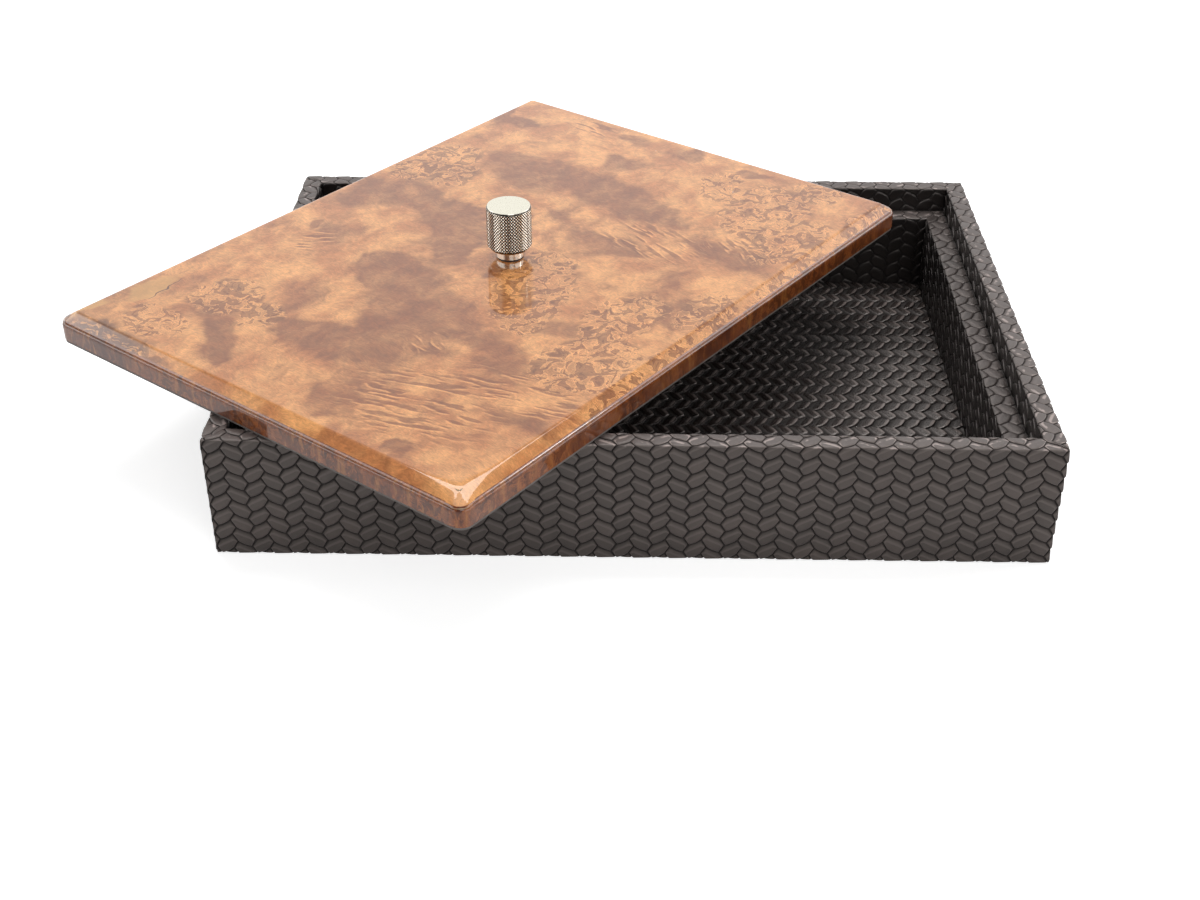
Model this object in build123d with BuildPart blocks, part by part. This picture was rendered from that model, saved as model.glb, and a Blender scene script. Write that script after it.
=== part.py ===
"""Stationery box: a leather-covered case with a drop-in burl lid and a knurled knob.

The case stands on the XY plane, centred on the origin, long side along X and front towards -Y.
The lid lies askew across the rim, as it is left when the box is open.
All sizes are in millimetres.
"""
import os

from build123d import *

# Case
CASE_WIDTH = 350.0        # along X, outside the leather
CASE_DEPTH = 259.0        # along Y, outside the leather
CASE_HEIGHT = 57.0        # table to rim
LEATHER = 1.5             # embossed leather with its backing
WALL_BOARD = 7.0          # board inside the outer wall
LEDGE_TOP = 45.0          # height of the ledge that carries the closed lid
LEDGE_BOARD = 9.5         # board behind the inner wall
BASE_LINING = 1.0         # felt under the case
LEATHER_FOOT = 0.4        # gap under the wall leather, so that the case stands on its felt
BASE_BOARD = 4.0          # bottom board
FLOOR_CARD = 0.8          # stiff card under the floor leather
RIM_ROUND = 0.8           # soft edge where leather turns over the rim

# Lid
LID_GAP = 0.7             # clearance all round when the lid is in its recess
LID_THICKNESS = 13.5      # underside to flat top
LID_SIDE = 9.5            # height of the upright side
LID_BEVEL = 6.5           # width of the sloping border
LID_CORNER = 6.0          # plan radius of the upright corners
LID_TOP_CORNER = 1.2      # plan radius of the flat top's corners
LID_LINING = 1.2          # lining on the underside
LINING_INSET = 0.3        # lining held back from the edge
VENEER = 0.6              # burl veneer

# Where the lid lies at rest, and how far it is turned from square
LID_CENTRE_X = -61.0
LID_CENTRE_Y = 11.9
LID_TURN = 53.5

# Knob and its fastening
KNOB_OFFSET = -3.9        # knob hole from the lid's centre, across the lid
KNOB_RADIUS = 10.5
KNOB_HEAD = 21.0          # height of the knurled head
NECK_RADIUS = 6.5
NECK_HEIGHT = 4.4
KNOB_TOP_EDGE = 0.5       # chamfer round the top face
KNOB_LOWER_EDGE = 1.5     # chamfer under the head
SEAT_WASHER = 0.5         # thin dark washer that keeps the knob off the lacquer
SEAT_WASHER_RADIUS = 6.2
SCREW_RADIUS = 2.0
SCREW_HEAD_RADIUS = 3.5
SCREW_HEAD = 2.4
SCREW_REACH = 9.0         # thread inside the knob
SCREW_SLOT = 1.0          # width and depth of the driver slot
WASHER_RADIUS = 4.5
WASHER = 0.5
COUNTERBORE_RADIUS = 5.0
COUNTERBORE = 3.6
RUNNING_GAP = 0.08        # radial clearance of the screw in the lid
THREAD_GAP = 0.05         # radial clearance of the plain hole that stands for the thread

# Heights and widths that follow
wall = WALL_BOARD + 2 * LEATHER
ledge = LEDGE_BOARD + LEATHER
board_top = BASE_LINING + BASE_BOARD
card_top = board_top + FLOOR_CARD
floor_top = card_top + LEATHER
opening_width = CASE_WIDTH - 2 * wall
opening_depth = CASE_DEPTH - 2 * wall
inner_width = opening_width - 2 * ledge
inner_depth = opening_depth - 2 * ledge
lid_width = opening_width - 2 * LID_GAP
lid_depth = opening_depth - 2 * LID_GAP
core_bottom = LID_LINING
screw_seat = core_bottom + COUNTERBORE - WASHER
neck_foot = LID_THICKNESS + SEAT_WASHER
head_foot = neck_foot + NECK_HEIGHT

# Each side of the case: the turn of its plane, its distance from the centre, half its length
SIDES = {
    "front": (0, CASE_DEPTH / 2, CASE_WIDTH / 2),
    "right": (90, CASE_WIDTH / 2, CASE_DEPTH / 2),
    "back": (180, CASE_DEPTH / 2, CASE_WIDTH / 2),
    "left": (270, CASE_WIDTH / 2, CASE_DEPTH / 2),
}

# The same for the lid, in its own plane
LID_EDGES = {
    "front": (0, lid_depth / 2, lid_width / 2),
    "right": (90, lid_width / 2, lid_depth / 2),
    "back": (180, lid_depth / 2, lid_width / 2),
    "left": (270, lid_width / 2, lid_depth / 2),
}

# The lid's own plane: on the rim, turned askew; x along its long side
lid_plane = Plane(origin=(LID_CENTRE_X, LID_CENTRE_Y, CASE_HEIGHT)).rotated((0, 0, LID_TURN))
knob_spot = lid_plane.from_local_coords(Vector(0, KNOB_OFFSET, 0))
knob_plane = Plane(origin=knob_spot)


def finish(part, label):
    """Name a finished piece and write it to its own file."""
    part.label = label
    export_step(part, f"parts/{label}.step")


def mitred_strip(side, start, stop, height):
    """Outline of a straight layer along one side of the case, mitred at both ends.

    It runs between two depths, start and stop, measured inwards from the outside of the case.
    """
    turn, reach, half = SIDES[side]
    with BuildSketch(Plane.XY.rotated((0, 0, turn)).offset(height)) as strip:
        with BuildLine():
            Polyline(
                (start - half, start - reach),
                (half - start, start - reach),
                (half - stop, stop - reach),
                (stop - half, stop - reach),
                close=True,
            )
        make_face()
    return strip.sketch


def lid_outline(inset, height):
    """The lid's rounded outline, held back all round by inset."""
    with BuildSketch(lid_plane.offset(height)) as outline:
        RectangleRounded(lid_width - 2 * inset, lid_depth - 2 * inset, LID_CORNER - inset)
    return outline.sketch


def flat_outline(inset, height):
    """The outline of the lid's flat top, inside the bevel."""
    border = 2 * (LID_BEVEL + inset)
    with BuildSketch(lid_plane.offset(height)) as outline:
        RectangleRounded(lid_width - border, lid_depth - border, LID_TOP_CORNER - inset / 2)
    return outline.sketch


def lid_form(inset):
    """The lid above its lining: upright side, bevel and flat top, all held back by inset."""
    with BuildPart() as form:
        extrude(lid_outline(inset, core_bottom), amount=LID_SIDE - core_bottom)
        loft([lid_outline(inset, LID_SIDE), flat_outline(inset, LID_THICKNESS - inset)])
    return form.part


def edge_region(turn, reach, half):
    """Space along one edge of the lid, between its two mitres and below the top veneer."""
    deep = LID_BEVEL + LID_CORNER
    with BuildPart() as region:
        with BuildSketch(lid_plane.rotated((0, 0, turn))):
            with BuildLine():
                Polyline(
                    (-half, -reach),
                    (half, -reach),
                    (half - deep, deep - reach),
                    (deep - half, deep - reach),
                    close=True,
                )
            make_face()
        extrude(amount=LID_THICKNESS - VENEER)
    return region.part


def ring(outer, hole, height):
    """A flat ring about the knob's axis."""
    with BuildSketch(knob_plane.offset(height)) as outline:
        Circle(outer)
        Circle(hole, mode=Mode.SUBTRACT)
    return outline.sketch


def disc(radius, height):
    """A disc about the knob's axis."""
    with BuildSketch(knob_plane.offset(height)) as outline:
        Circle(radius)
    return outline.sketch


os.makedirs("parts", exist_ok=True)

# Bottom of the case: felt, board, card and floor leather, from the table up
with BuildPart() as base_lining:
    with BuildSketch(Plane.XY):
        Rectangle(CASE_WIDTH - 2 * LEATHER, CASE_DEPTH - 2 * LEATHER)
    extrude(amount=BASE_LINING)
finish(base_lining.part, "base_lining")

with BuildPart() as base_board:
    with BuildSketch(Plane.XY.offset(BASE_LINING)):
        Rectangle(opening_width + 2 * LEATHER, opening_depth + 2 * LEATHER)
    extrude(amount=BASE_BOARD)
finish(base_board.part, "base_board")

with BuildPart() as floor_card:
    with BuildSketch(Plane.XY.offset(board_top)):
        Rectangle(inner_width, inner_depth)
    extrude(amount=FLOOR_CARD)
finish(floor_card.part, "floor_card")

with BuildPart() as floor_leather:
    with BuildSketch(Plane.XY.offset(card_top)):
        Rectangle(inner_width, inner_depth)
    extrude(amount=LEATHER)
finish(floor_leather.part, "floor_leather")

# Four sides, each with two boards and two leathers
for side in SIDES:
    with BuildPart() as wall_board:
        board_plan = mitred_strip(side, LEATHER, LEATHER + WALL_BOARD, BASE_LINING)
        extrude(board_plan, amount=CASE_HEIGHT - LEATHER - BASE_LINING)
    finish(wall_board.part, f"wall_board_{side}")

    with BuildPart() as wall_leather:
        extrude(mitred_strip(side, 0, LEATHER, LEATHER_FOOT), amount=CASE_HEIGHT - LEATHER_FOOT)
        extrude(mitred_strip(side, 0, wall, CASE_HEIGHT - LEATHER), amount=LEATHER)
        extrude(mitred_strip(side, wall - LEATHER, wall, board_top), amount=CASE_HEIGHT - board_top)
        rim = wall_leather.faces().sort_by(Axis.Z)[-1]
        fillet(rim.edges().sort_by(SortBy.LENGTH)[-2:], RIM_ROUND)
    finish(wall_leather.part, f"wall_leather_{side}")

    with BuildPart() as ledge_board:
        ledge_plan = mitred_strip(side, wall, wall + LEDGE_BOARD, board_top)
        extrude(ledge_plan, amount=LEDGE_TOP - LEATHER - board_top)
    finish(ledge_board.part, f"ledge_board_{side}")

    with BuildPart() as ledge_leather:
        extrude(mitred_strip(side, wall, wall + ledge, LEDGE_TOP - LEATHER), amount=LEATHER)
        inner_plan = mitred_strip(side, wall + LEDGE_BOARD, wall + ledge, board_top)
        extrude(inner_plan, amount=LEDGE_TOP - board_top)
        ledge_face = ledge_leather.faces().sort_by(Axis.Z)[-1]
        fillet(ledge_face.edges().sort_by(SortBy.LENGTH)[-2], RIM_ROUND)
    finish(ledge_leather.part, f"ledge_leather_{side}")

# Lid: lining, board, top veneer and four edge veneers
with BuildPart() as lid_lining:
    with BuildSketch(lid_plane):
        RectangleRounded(
            lid_width - 2 * LINING_INSET, lid_depth - 2 * LINING_INSET, LID_CORNER - LINING_INSET
        )
    extrude(amount=LID_LINING)
finish(lid_lining.part, "lid_lining")

with BuildPart() as lid_board:
    add(lid_form(VENEER))
    extrude(disc(SCREW_RADIUS + RUNNING_GAP, core_bottom), amount=LID_THICKNESS, mode=Mode.SUBTRACT)
    extrude(disc(COUNTERBORE_RADIUS, core_bottom), amount=COUNTERBORE, mode=Mode.SUBTRACT)
finish(lid_board.part, "lid_board")

with BuildPart() as veneer_top:
    add(lid_form(0))
    split(bisect_by=lid_plane.offset(LID_THICKNESS - VENEER), keep=Keep.TOP)
    extrude(disc(SCREW_RADIUS + RUNNING_GAP, core_bottom), amount=LID_THICKNESS, mode=Mode.SUBTRACT)
finish(veneer_top.part, "veneer_top")

for edge, (turn, reach, half) in LID_EDGES.items():
    with BuildPart() as edge_veneer:
        add(lid_form(0))
        add(lid_form(VENEER), mode=Mode.SUBTRACT)
        add(edge_region(turn, reach, half), mode=Mode.INTERSECT)
    finish(edge_veneer.part, f"edge_veneer_{edge}")

# Knob: one turned piece on a thin washer, held by a screw from inside the lid
with BuildPart() as knob:
    extrude(disc(NECK_RADIUS, neck_foot), amount=NECK_HEIGHT)
    extrude(disc(KNOB_RADIUS, head_foot), amount=KNOB_HEAD)
    rims = knob.edges().filter_by(GeomType.CIRCLE).filter_by(lambda edge: edge.radius > NECK_RADIUS + 1)
    chamfer(rims.sort_by(Axis.Z)[-1], KNOB_TOP_EDGE)
    chamfer(rims.sort_by(Axis.Z)[0], KNOB_LOWER_EDGE)
    extrude(disc(SCREW_RADIUS + THREAD_GAP, neck_foot), amount=SCREW_REACH + 1, mode=Mode.SUBTRACT)
finish(knob.part, "knob")

with BuildPart() as knob_seat_washer:
    seat_ring = ring(SEAT_WASHER_RADIUS, SCREW_RADIUS + THREAD_GAP, LID_THICKNESS)
    extrude(seat_ring, amount=SEAT_WASHER)
finish(knob_seat_washer.part, "knob_seat_washer")

with BuildPart() as screw_washer:
    extrude(ring(WASHER_RADIUS, SCREW_RADIUS + THREAD_GAP, screw_seat), amount=WASHER)
finish(screw_washer.part, "screw_washer")

with BuildPart() as knob_screw:
    extrude(disc(SCREW_HEAD_RADIUS, screw_seat - SCREW_HEAD), amount=SCREW_HEAD)
    extrude(disc(SCREW_RADIUS, screw_seat), amount=neck_foot + SCREW_REACH - screw_seat)
    with BuildSketch(knob_plane.offset(screw_seat - SCREW_HEAD)):
        Rectangle(2 * SCREW_HEAD_RADIUS, SCREW_SLOT)
    extrude(amount=SCREW_SLOT, mode=Mode.SUBTRACT)
finish(knob_screw.part, "knob_screw")
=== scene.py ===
"""Stationery box: the looks of its plaited leather case, burl lid and knurled knob.

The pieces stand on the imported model: the leather, the veneer and the knob are modelled here at the sizes
of the nodes that they replace, and every other node keeps its shape and gets its finish.
"""

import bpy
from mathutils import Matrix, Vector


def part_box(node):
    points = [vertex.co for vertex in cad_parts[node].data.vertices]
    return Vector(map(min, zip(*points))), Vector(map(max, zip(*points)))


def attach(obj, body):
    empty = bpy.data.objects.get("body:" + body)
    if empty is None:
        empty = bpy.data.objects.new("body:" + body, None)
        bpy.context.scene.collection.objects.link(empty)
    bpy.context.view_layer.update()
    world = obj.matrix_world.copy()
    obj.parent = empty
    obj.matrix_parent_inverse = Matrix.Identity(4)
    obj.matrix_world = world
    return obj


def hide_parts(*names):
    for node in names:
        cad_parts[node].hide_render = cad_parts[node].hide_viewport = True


bl_info = {
    "name": "Stationery box",
    "version": (1, 0, 0),
    "blender": (4, 5, 0),
    "location": "3D View > Sidebar > Box",
    "description": "Makes a leather covered stationery box with a burl lid and a knurled knob",
    "category": "Object",
}

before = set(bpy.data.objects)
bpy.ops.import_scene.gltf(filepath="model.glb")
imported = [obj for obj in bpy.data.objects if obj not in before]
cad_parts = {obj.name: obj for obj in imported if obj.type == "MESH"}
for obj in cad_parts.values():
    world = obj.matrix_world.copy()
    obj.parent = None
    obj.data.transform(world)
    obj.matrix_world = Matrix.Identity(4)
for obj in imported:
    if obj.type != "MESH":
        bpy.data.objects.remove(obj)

import functools
import math
import random

import bmesh
import bpy
from bpy.props import FloatProperty, FloatVectorProperty, IntProperty, PointerProperty
from mathutils import Matrix, Vector

MM = 0.001
SIDES = ("front", "right", "back", "left")
QUARTER = math.pi / 2
SAME = 1e-6  # metres within which two places count as one
# Degrees from which edges look sharp: on embossed leather, lacquered wood and turned metal
SHARP_LEATHER, SHARP_WOOD, SHARP_METAL = 50, 60, 28
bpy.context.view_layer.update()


# --- Settings ---


def length(name, description, default):
    """A size that a user may change, given in millimetres."""
    return FloatProperty(
        name=name, description=description, default=default * MM, min=0, precision=5, unit="LENGTH"
    )


def shade(name, description, default):
    """A colour that a user may change."""
    return FloatVectorProperty(
        name=name, description=description, default=default, subtype="COLOR", size=3, min=0, max=1
    )


def angle(name, description, default):
    """A turn that a user may change, given in degrees."""
    return FloatProperty(name=name, description=description, default=math.radians(default), subtype="ANGLE")


def power(name, description, default):
    """The power of a lamp, in watts."""
    return FloatProperty(name=name, description=description, default=default, unit="POWER")


class LeatherSettings(bpy.types.PropertyGroup):
    """Plait that is embossed in the leather of the case."""

    pair: length("Pair of strands", "Length of one rising and one falling strand", 15.06)
    row: length("Row", "Distance from one strand to the next in its stack", 7.15)
    floor_pair: length("Pair on the floor", "Length of one pair of strands on the tray floor", 14.45)
    floor_row: length("Row on the floor", "Distance between stacked strands on the floor", 7.125)
    relief: length("Relief", "Depth of the grooves between strands", 0.85)
    floor_relief: length("Relief of the floor", "Depth of the grooves on the tray floor", 0.85)
    tilt: length("Tilt", "How far the near edge of a strand stands over the far one", 0.2)
    bow: length("Bow", "Sag of the long edges of a strand", 0.45)
    start_along: length("Start along", "Place of the first strand from the middle of the front", 6.26)
    start_up: length("Start up", "Height of the first strand over the table", 3.59)
    welt: length("Welt", "Width of the pressed edge of the ledge beside the wall", 1.5)
    soft_edge: length("Soft edge", "Radius at which the leather turns over the rim", 1.1)
    soft_corner: length("Soft corner", "Radius at which the leather turns round a corner", 1.3)
    colour: shade("Leather", "Colour of the raised strands", (0.0305, 0.0250, 0.0232))
    # Painted shade: the near black colour painted into the grooves and onto the faces inside the tray.
    groove_shade: shade("Groove", "Colour in the grooves", (0.006, 0.005, 0.005))


class LidSettings(bpy.types.PropertyGroup):
    """Lacquered burl lid."""

    turn: angle("Turn", "How far the lid is turned from square", 53.5)
    width: length("Width", "Long side of the lid", 328.6)
    depth: length("Depth", "Short side of the lid", 237.6)
    side: length("Side", "Height of the upright side", 9.5)
    thickness: length("Thickness", "Underside to flat top", 13.5)
    bevel: length("Bevel", "Width of the sloping border", 6.5)
    corner: length("Corner", "Radius of the upright corners", 6.0)
    top_corner: length("Top corner", "Radius of the corners of the flat top", 1.2)
    arris: length("Arris", "Width of the rounded edge over the side", 1.9)
    crease: length("Crease", "Width of the soft edge round the flat top", 0.85)
    eased: length("Eased edge", "Width of that edge at the corner where it is polished round", 6.0)
    easing: length("Easing", "How far from the corner the polished edge runs out", 34.0)
    coat: length("Coat", "Thickness of the veneer and its lacquer", 0.55)
    pale: shade("Pale wood", "Colour of the pale figure", (0.80, 0.37, 0.13))
    mid: shade("Middle wood", "Colour of the plain wood", (0.50, 0.182, 0.056))
    dark: shade("Dark wood", "Colour of the clouds and eyes", (0.175, 0.045, 0.009))


class KnobSettings(bpy.types.PropertyGroup):
    """Knurled knob."""

    diamonds: IntProperty(name="Diamonds", description="Knurl diamonds round the head", default=48, min=8)
    rows: IntProperty(name="Rows", description="Rows of knurl diamonds", default=12, min=2)
    knurl: length("Knurl", "Depth of the knurl", 0.32)
    land: length("Land", "Width from the groove to the flat tip of a diamond", 0.30)
    neck: length("Neck", "Radius of the plain neck", 6.5)
    neck_height: length("Neck height", "Height of the plain neck", 4.4)
    top_edge: length("Top edge", "Chamfer round the top", 0.5)
    lower_edge: length("Lower edge", "Chamfer under the head", 1.5)
    bore: length("Bore", "Radius of the threaded hole", 2.05)
    bore_depth: length("Bore depth", "Depth of the threaded hole", 9.5)
    colour: shade("Nickel", "Colour of the metal", (0.86, 0.82, 0.73))


class StageSettings(bpy.types.PropertyGroup):
    """Camera and lamps."""

    lens: FloatProperty(name="Lens", description="Focal length", default=48.426, unit="CAMERA")
    aside: angle("Aside", "Turn of the view from square on", -0.798)
    down: angle("Down", "How far the camera looks down", 33.586)
    roll: angle("Roll", "Roll of the camera", 0.242)
    place: FloatVectorProperty(
        name="Place", description="Where the camera stands", default=(-0.005961, -0.668743, 0.412676),
        subtype="TRANSLATION", unit="LENGTH", precision=5,
    )
    overhead: power("Overhead lamp", "Power of the lamp overhead", 18.3)
    far: power("Far lamp", "Power of the panel behind the box", 1.2)
    side: power("Side lamp", "Power of the small lamp on the right", 3.0)
    near: power("Near lamp", "Power of the lamp by the camera", 12.2)


SETTINGS = {
    "box_leather": LeatherSettings,
    "box_lid": LidSettings,
    "box_knob": KnobSettings,
    "box_stage": StageSettings,
}


# --- Bench work ---


def take_up(piece):
    """Leave everything else alone and work on this piece."""
    bpy.ops.object.select_all(action="DESELECT")
    piece.select_set(True)
    bpy.context.view_layer.objects.active = piece


def begin(piece):
    take_up(piece)
    bpy.ops.object.mode_set(mode="EDIT")


def end():
    bpy.ops.object.mode_set(mode="OBJECT")


def pick(kind, wanted):
    """Select only the wanted faces, edges or vertices of the mesh being edited."""
    bpy.ops.mesh.select_mode(type=kind)
    bpy.ops.mesh.select_all(action="DESELECT")
    mesh = bmesh.from_edit_mesh(bpy.context.edit_object.data)
    parts = {"FACE": mesh.faces, "EDGE": mesh.edges, "VERT": mesh.verts}[kind]
    for part in parts:
        if wanted(part):
            part.select_set(True)
    bmesh.update_edit_mesh(bpy.context.edit_object.data)


def at_height(edge, height):
    return all(abs(corner.co.z - height) < SAME for corner in edge.verts)


def cut(place, normal, clear=False, fill=False):
    """Bisect the mesh being edited, and clear what lies on the normal's side."""
    bpy.ops.mesh.select_all(action="SELECT")
    bpy.ops.mesh.bisect(plane_co=place, plane_no=normal, clear_outer=clear, use_fill=fill, threshold=1e-7)


def apply(piece, kind, **settings):
    """Put one modifier on a piece and apply it."""
    take_up(piece)
    modifier = piece.modifiers.new(kind.title(), kind)
    for key, value in settings.items():
        setattr(modifier, key, value)
    bpy.ops.object.modifier_apply(modifier=modifier.name)


def tidy_normals(piece):
    """Merge doubles and turn every face outwards."""
    begin(piece)
    bpy.ops.mesh.select_all(action="SELECT")
    bpy.ops.mesh.remove_doubles(threshold=SAME)
    bpy.ops.mesh.normals_make_consistent(inside=False)
    end()


def settle(piece, place=None):
    """Put the place of a finished piece in its mesh."""
    if place is not None:
        piece.matrix_world = place
    take_up(piece)
    bpy.ops.object.transform_apply(location=True, rotation=True, scale=True)


def smooth(piece, degrees):
    """Shade a piece smooth, but for edges that are sharper than this."""
    take_up(piece)
    bpy.ops.object.shade_smooth_by_angle(angle=math.radians(degrees))


def hand_over(piece, body, slot, nodes, *finishes):
    """Give a piece its finishes, its body and the nodes that it stands for."""
    for finish in finishes:
        piece.data.materials.append(finish)
    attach(piece, body)
    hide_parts(*nodes)


# --- Leather ---

# Corners of the strands in a tile, as shares of a pair's length and of a row's height
SHOULDER = (0.153, 0.51)
CROWN = (0.498, 0.888)
TAIL = (0.637, 0.364)
FALLING_BOW = 0.9  # sag of the falling strand, as a share of the rising one's
HALF_BREADTH = 0.42  # from a strand's middle to its long edge, as a share of a row
# Steps from the groove up to the flat of a strand: width in millimetres, and share of the relief
STEPS_UP = ((0.38, 0.75), (0.34, 0.17), (0.85, 0.08))
STRANDS_IN_TILE = 2

WALL_TILT, LEDGE_TILT, FLOOR_TILT = 1.5, 1.0, 2.5  # shares of the tilt in the settings
BACKING = 1.4 * MM  # leather behind the faces of the walls and ledges
UNDERSIDE = 1.3 * MM  # what lies deeper than this is the smooth back of the leather
WELT_DEPTH = 0.45 * MM
FOLD_CUTS = 3
CORNER_CUTS = 3
MITRE_GAP = 0.02 * MM


def bowed(start, end, bow, steps=4):
    """Points of a strand's long edge, which sags by bow between two corners."""
    for step in range(steps + 1):
        part = step / steps
        point = start.lerp(end, part)
        yield Vector((point.x, point.y - 4 * bow * part * (1 - part), 0))


def plait_tile(pair, row, relief, tilt, bow):
    """One rising and one falling strand, raised from their grooves, as an open tile."""
    foot = Vector((0, 0, 0))
    shoulder, crown, tail = (Vector((along * pair, up * row, 0)) for along, up in (SHOULDER, CROWN, TAIL))
    across = Vector((pair, 0, 0))
    down = Vector((0, -row, 0))
    rise = list(bowed(shoulder, crown, bow))
    fall = list(bowed(tail, foot + across, bow * FALLING_BOW))
    rising = [foot, *rise, tail, *(point + down for point in reversed(rise))]
    falling = [*fall, shoulder + across + down, *(point + down for point in reversed(fall)), crown + down]

    data = bpy.data.meshes.new("plait")
    mesh = bmesh.new()
    strand = mesh.faces.layers.int.new("strand")
    for index, outline in enumerate((rising, falling)):
        face = mesh.faces.new([mesh.verts.new(point) for point in reversed(outline)])
        face[strand] = index
    mesh.to_mesh(data)
    mesh.free()
    tile = bpy.data.objects.new("plait", data)
    bpy.context.collection.objects.link(tile)

    begin(tile)
    bpy.ops.mesh.select_all(action="SELECT")
    bpy.ops.mesh.remove_doubles(threshold=SAME)
    bpy.ops.mesh.select_all(action="SELECT")
    bpy.ops.transform.translate(value=(0, 0, -relief - tilt))
    for width, share in STEPS_UP:
        bpy.ops.mesh.inset(thickness=width * MM, depth=relief * share, use_individual=True)
    end()

    centres = [sum(outline, Vector()) / len(outline) for outline in (rising, falling)]
    lean = [(crown - shoulder).normalized(), (foot + across - tail).normalized()]
    for polygon in tile.data.polygons:
        polygon.use_smooth = True
    strands = tile.data.attributes["strand"].data
    raised = {}
    for polygon in tile.data.polygons:
        for number in polygon.vertices:
            if tile.data.vertices[number].co.z > -relief - tilt + SAME:
                raised[number] = strands[polygon.index].value
    for number, index in raised.items():
        point = tile.data.vertices[number].co
        offset = point - centres[index]
        beside = lean[index].x * offset.y - lean[index].y * offset.x
        point.z -= tilt * beside / (HALF_BREADTH * row)
    return tile


def plait_sheet(name, span, rise, pair, row, start, relief, tilt, bow, backing):
    """A flat closed sheet of plaited leather, face up at height 0.

    It runs from -span / 2 to span / 2 along X, and between the two values of rise along Y.
    """
    sheet = plait_tile(pair, row, relief, tilt, bow)
    sheet.name = name
    first = math.floor((-span / 2 - start[0]) / pair) - 1
    lowest = math.floor((rise[0] - start[1]) / row) - 1
    settle(sheet, Matrix.Translation((start[0] + first * pair, start[1] + lowest * row, 0)))
    faces_in_tile = len(sheet.data.polygons)
    for count, step in (
        (math.ceil(span / pair) + 3, (pair, 0, 0)),
        (math.ceil((rise[1] - rise[0]) / row) + 4, (0, row, 0)),
    ):
        apply(
            sheet, "ARRAY", count=count, use_relative_offset=False, use_constant_offset=True,
            constant_offset_displace=step, use_merge_vertices=True, merge_threshold=0.01 * MM,
        )

    dice = random.Random(name)
    strands = sheet.data.attributes["strand"].data
    tones = [dice.uniform(-1, 1) for _ in range(STRANDS_IN_TILE * (len(strands) // faces_in_tile + 1))]
    tone = sheet.data.attributes.new("tone", "FLOAT", "FACE")
    for index, item in enumerate(strands):
        tone.data[index].value = tones[STRANDS_IN_TILE * (index // faces_in_tile) + item.value]
    height = sheet.data.attributes.new("relief", "FLOAT", "POINT")
    for index, vertex in enumerate(sheet.data.vertices):
        height.data[index].value = 1 + (vertex.co.z + tilt) / relief

    begin(sheet)
    for place, normal in (
        ((span / 2, 0, 0), (1, 0, 0)),
        ((-span / 2, 0, 0), (-1, 0, 0)),
        ((0, rise[1], 0), (0, 1, 0)),
        ((0, rise[0], 0), (0, -1, 0)),
    ):
        cut(place, normal, clear=True)
    pick("EDGE", lambda edge: edge.is_boundary)
    bpy.ops.mesh.extrude_edges_move(TRANSFORM_OT_translate={"value": (0, 0, -backing)})
    bpy.ops.transform.resize(value=(1, 1, 0), center_override=(0, 0, -backing))
    bpy.ops.mesh.edge_face_add()
    end()
    return sheet


def over_edges(distance, runs, radius, turn):
    """Depth, height and heading of leather at a distance along it, up one face and over soft edges."""
    depth, height = 0.0, 0.0
    for run in (*runs[:-1], math.inf):
        step = min(distance, run)
        depth += step * math.sin(turn)
        height += step * math.cos(turn)
        distance -= step
        bent = min(distance, QUARTER * radius)
        bend = bent / radius
        depth += radius * (math.cos(turn) - math.cos(turn + bend))
        height += radius * (math.sin(turn + bend) - math.sin(turn))
        distance -= bent
        turn += bend
    return depth, height, turn


def fold_lines(start, runs, radius):
    """Where a folded sheet needs an edge, so that its folds come out round."""
    quarter = QUARTER * radius
    place = start
    for run in runs[:-1]:
        place += run
        for step in range(FOLD_CUTS + 1):
            yield place + quarter * step / FOLD_CUTS
        place += quarter


def fold_sheet(sheet, start, runs, radius, turn, origin, wear_and_sheen):
    """Fold a flat sheet over its soft edges. The sheet's X stays, its Y runs up and over.

    Where it lies level its relief is pressed flatter. The attribute inside says how far the leather
    faces into the tray, and level says how much it lies level, scaled by how much painted sheen it gets
    there.
    """
    pressed = 0.25
    begin(sheet)
    for place in fold_lines(start, runs, radius):
        cut((0, place, 0), (0, 1, 0))
    end()
    relief = sheet.data.attributes["relief"].data
    inside = sheet.data.attributes.new("inside", "FLOAT", "POINT")
    level = sheet.data.attributes.new("level", "FLOAT", "POINT")
    for index, vertex in enumerate(sheet.data.vertices):
        along, distance, rise = vertex.co
        depth, height, heading = over_edges(distance - start, runs, radius, turn)
        inside.data[index].value = max(0.0, -math.cos(heading))
        level.data[index].value = wear_and_sheen * math.sin(heading)
        if rise > -UNDERSIDE:
            kept = 1 - pressed * math.sin(heading)
            rise *= kept
            relief[index].value = 1 - kept * (1 - relief[index].value)
        depth -= rise * math.cos(heading)
        height += rise * math.sin(heading)
        vertex.co = Vector((along, origin[0] + depth, origin[1] + height))


def round_corners(sheet, half, face, radius):
    """Lead both ends of a wall sheet round its upright corners. The wall's face is at y = face."""
    begin(sheet)
    for step in range(CORNER_CUTS + 1):
        reach = half - radius + radius * math.pi / 4 * step / CORNER_CUTS
        for way in (-1, 1):
            cut((way * reach, 0, 0), (way, 0, 0))
    end()
    for vertex in sheet.data.vertices:
        way = math.copysign(1, vertex.co.x)
        past = abs(vertex.co.x) - (half - radius)
        inside = radius - (vertex.co.y - face)
        if past > 0 and inside > 0:
            bend = past / radius
            vertex.co.x = way * (half - radius + inside * math.sin(bend))
            vertex.co.y = face + radius - inside * math.cos(bend)


def mitre(sheet, half, face):
    """Cut both ends of a sheet on the diagonals of the case's corners."""
    begin(sheet)
    for way in (-1, 1):
        cut((way * (half - MITRE_GAP), face, 0), (way, 1, 0), clear=True, fill=True)
    end()
    tidy_normals(sheet)
    smooth(sheet, SHARP_LEATHER)


def seen_from_side(node, side):
    """A node on one side of the case: its corners, its length along the side, and where it faces out."""
    low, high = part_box(f"{node}_{side}")
    size = high - low
    if side == "front":
        return low, high, size.x, size.y, low.y
    return low, high, size.y, size.x, -high.x


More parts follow.
